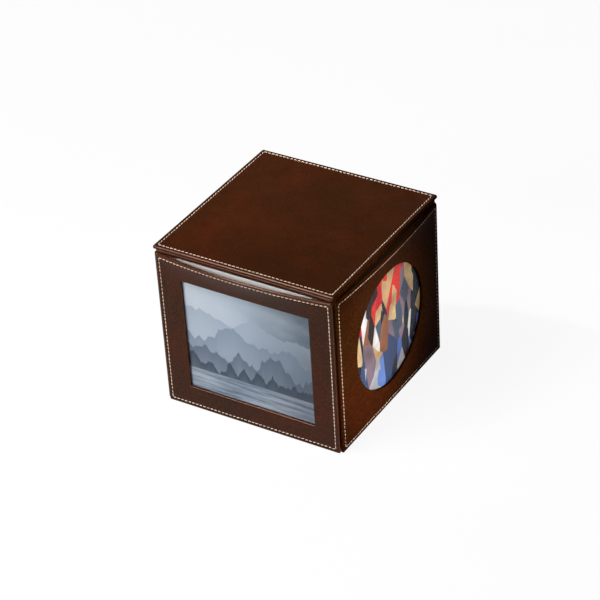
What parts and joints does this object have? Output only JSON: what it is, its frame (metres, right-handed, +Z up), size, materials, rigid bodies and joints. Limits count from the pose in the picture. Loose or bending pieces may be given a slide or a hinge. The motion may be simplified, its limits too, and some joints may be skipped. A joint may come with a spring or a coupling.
{
  "type": "photo storage box",
  "caption": "Square leather covered photo storage box with a lift-off lid, stitched picture frames on its sides, rectangular windows at front and back and round windows left and right.",
  "frame": {"origin": "centre of the underside, on the surface that the box stands on", "axes": "+Z up, -Y towards the front frame with a rectangular window, +X towards the right frame with a round window"},
  "size_m": [0.1786, 0.1844, 0.1534],
  "materials": {
    "leather": "glossy dark brown faux leather",
    "thread": "cream waxed thread",
    "fibreboard": "raw fibreboard",
    "card": "grey board",
    "lining": "dark brown velvet lining",
    "base_felt": "dark brown felt",
    "clear_film": "clear film",
    "print_mono": "gloss print, blue-grey",
    "print_colour": "gloss print, coloured"
  },
  "bodies": {
    "box": {"base_board": "fibreboard", "base_lining": "lining", "base_cover": "base_felt", "body_leather": "leather", "front_wall_board": "fibreboard", "front_lining": "lining", "front_pocket_card": "card", "front_frame_card": "card", "front_frame_leather": "leather", "front_frame_thread": "thread", "front_window_film": "clear_film", "front_photo_print": "print_mono", "right_wall_board": "fibreboard", "right_lining": "lining", "right_pocket_card": "card", "right_frame_card": "card", "right_frame_leather": "leather", "right_frame_thread": "thread", "right_window_film": "clear_film", "right_photo_print": "print_colour", "back_wall_board": "fibreboard", "back_lining": "lining", "back_pocket_card": "card", "back_frame_card": "card", "back_frame_leather": "leather", "back_frame_thread": "thread", "back_window_film": "clear_film", "back_photo_print": "print_mono", "left_wall_board": "fibreboard", "left_lining": "lining", "left_pocket_card": "card", "left_frame_card": "card", "left_frame_leather": "leather", "left_frame_thread": "thread", "left_window_film": "clear_film", "left_photo_print": "print_colour"},
    "lid": {"lid_board": "fibreboard", "lid_leather": "leather", "lid_thread": "thread", "lid_panel": "fibreboard", "lid_lining": "lining"}
  },
  "joints": [
    {"name": "lid_lift", "type": "slide", "parent": "box", "child": "lid", "axis": [0, 0, 1], "range_m": [0, 0.12]}
  ]
}
